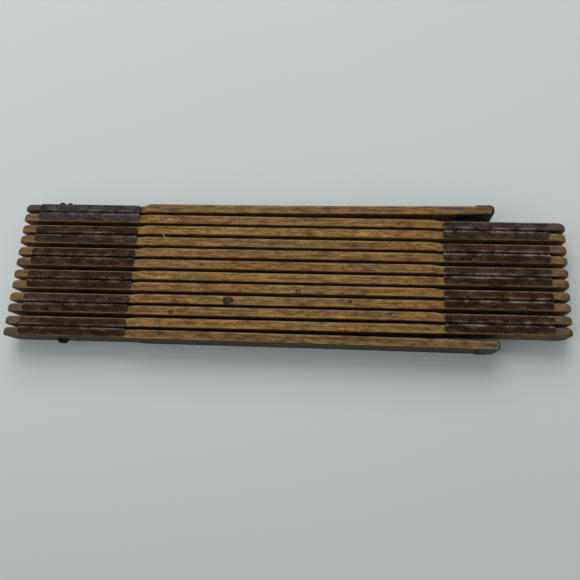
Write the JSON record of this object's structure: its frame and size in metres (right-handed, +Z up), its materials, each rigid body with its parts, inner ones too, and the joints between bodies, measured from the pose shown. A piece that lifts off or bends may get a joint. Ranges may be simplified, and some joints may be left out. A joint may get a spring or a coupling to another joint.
{
  "type": "folding rule",
  "caption": "Zig-zag wooden folding rule, folded shut, with narrow sticks on riveted metal spring joints that swing out end to end into one straight measure.",
  "frame": {"origin": "centre of the bounding box at the level of the lower long edges that the folded rule stands on", "axes": "+X along the sticks towards the capped free ends, +Y through the stack towards stick 1, +Z up across the width of the sticks"},
  "size_m": [0.2054, 0.0542, 0.0127],
  "materials": {
    "stick_wood": "worn, darkened hardwood with open grain and remains of varnish",
    "joint_plate_metal": "browned, patinated sheet metal with rubbed bends",
    "rivet_metal": "tarnished",
    "washer_metal": "dull spring steel",
    "end_cap_metal": "dark blued sheet metal, worn at the bends",
    "staple_metal": "blackened wire"
  },
  "bodies": {
    "section_01": {"stick_01": "stick_wood", "joint_plate_01_left": "joint_plate_metal", "pivot_rivet_01": "rivet_metal", "end_cap_01": "end_cap_metal", "clinch_staple_01": "staple_metal"},
    "section_02": {"stick_02": "stick_wood", "joint_plate_02_left": "joint_plate_metal", "joint_plate_02_right": "joint_plate_metal", "pivot_rivet_02": "rivet_metal", "spring_washer_01": "washer_metal"},
    "section_03": {"stick_03": "stick_wood", "joint_plate_03_left": "joint_plate_metal", "joint_plate_03_right": "joint_plate_metal", "pivot_rivet_03": "rivet_metal", "spring_washer_02": "washer_metal"},
    "section_04": {"stick_04": "stick_wood", "joint_plate_04_left": "joint_plate_metal", "joint_plate_04_right": "joint_plate_metal", "pivot_rivet_04": "rivet_metal", "spring_washer_03": "washer_metal"},
    "section_05": {"stick_05": "stick_wood", "joint_plate_05_left": "joint_plate_metal", "joint_plate_05_right": "joint_plate_metal", "pivot_rivet_05": "rivet_metal", "spring_washer_04": "washer_metal"},
    "section_06": {"stick_06": "stick_wood", "joint_plate_06_left": "joint_plate_metal", "joint_plate_06_right": "joint_plate_metal", "pivot_rivet_06": "rivet_metal", "spring_washer_05": "washer_metal"},
    "section_07": {"stick_07": "stick_wood", "joint_plate_07_left": "joint_plate_metal", "joint_plate_07_right": "joint_plate_metal", "pivot_rivet_07": "rivet_metal", "spring_washer_06": "washer_metal"},
    "section_08": {"stick_08": "stick_wood", "joint_plate_08_left": "joint_plate_metal", "joint_plate_08_right": "joint_plate_metal", "pivot_rivet_08": "rivet_metal", "spring_washer_07": "washer_metal"},
    "section_09": {"stick_09": "stick_wood", "joint_plate_09_left": "joint_plate_metal", "joint_plate_09_right": "joint_plate_metal", "pivot_rivet_09": "rivet_metal", "spring_washer_08": "washer_metal"},
    "section_10": {"stick_10": "stick_wood", "joint_plate_10_left": "joint_plate_metal", "joint_plate_10_right": "joint_plate_metal", "pivot_rivet_10": "rivet_metal", "spring_washer_09": "washer_metal"},
    "section_11": {"stick_11": "stick_wood", "joint_plate_11_left": "joint_plate_metal", "joint_plate_11_right": "joint_plate_metal", "pivot_rivet_11": "rivet_metal", "spring_washer_10": "washer_metal"},
    "section_12": {"stick_12": "stick_wood", "joint_plate_12_left": "joint_plate_metal", "spring_washer_11": "washer_metal", "end_cap_12": "end_cap_metal", "clinch_staple_12": "staple_metal"}
  },
  "joints": [
    {"name": "fold_01", "type": "hinge", "parent": "section_01", "child": "section_02", "pos_m": [-0.0762, 0.02175, 0.00635], "axis": [0, 1, 0], "range_deg": [-180, 180]},
    {"name": "fold_02", "type": "hinge", "parent": "section_02", "child": "section_03", "pos_m": [0.0762, 0.0174, 0.00635], "axis": [0, 1, 0], "range_deg": [-180, 180]},
    {"name": "fold_03", "type": "hinge", "parent": "section_03", "child": "section_04", "pos_m": [-0.0762, 0.01305, 0.00635], "axis": [0, 1, 0], "range_deg": [-180, 180]},
    {"name": "fold_04", "type": "hinge", "parent": "section_04", "child": "section_05", "pos_m": [0.0762, 0.0087, 0.00635], "axis": [0, 1, 0], "range_deg": [-180, 180]},
    {"name": "fold_05", "type": "hinge", "parent": "section_05", "child": "section_06", "pos_m": [-0.0762, 0.00435, 0.00635], "axis": [0, 1, 0], "range_deg": [-180, 180]},
    {"name": "fold_06", "type": "hinge", "parent": "section_06", "child": "section_07", "pos_m": [0.0762, 0, 0.00635], "axis": [0, 1, 0], "range_deg": [-180, 180]},
    {"name": "fold_07", "type": "hinge", "parent": "section_07", "child": "section_08", "pos_m": [-0.0762, -0.00435, 0.00635], "axis": [0, 1, 0], "range_deg": [-180, 180]},
    {"name": "fold_08", "type": "hinge", "parent": "section_08", "child": "section_09", "pos_m": [0.0762, -0.0087, 0.00635], "axis": [0, 1, 0], "range_deg": [-180, 180]},
    {"name": "fold_09", "type": "hinge", "parent": "section_09", "child": "section_10", "pos_m": [-0.0762, -0.01305, 0.00635], "axis": [0, 1, 0], "range_deg": [-180, 180]},
    {"name": "fold_10", "type": "hinge", "parent": "section_10", "child": "section_11", "pos_m": [0.0762, -0.0174, 0.00635], "axis": [0, 1, 0], "range_deg": [-180, 180]},
    {"name": "fold_11", "type": "hinge", "parent": "section_11", "child": "section_12", "pos_m": [-0.0762, -0.02175, 0.00635], "axis": [0, 1, 0], "range_deg": [-180, 180]}
  ]
}
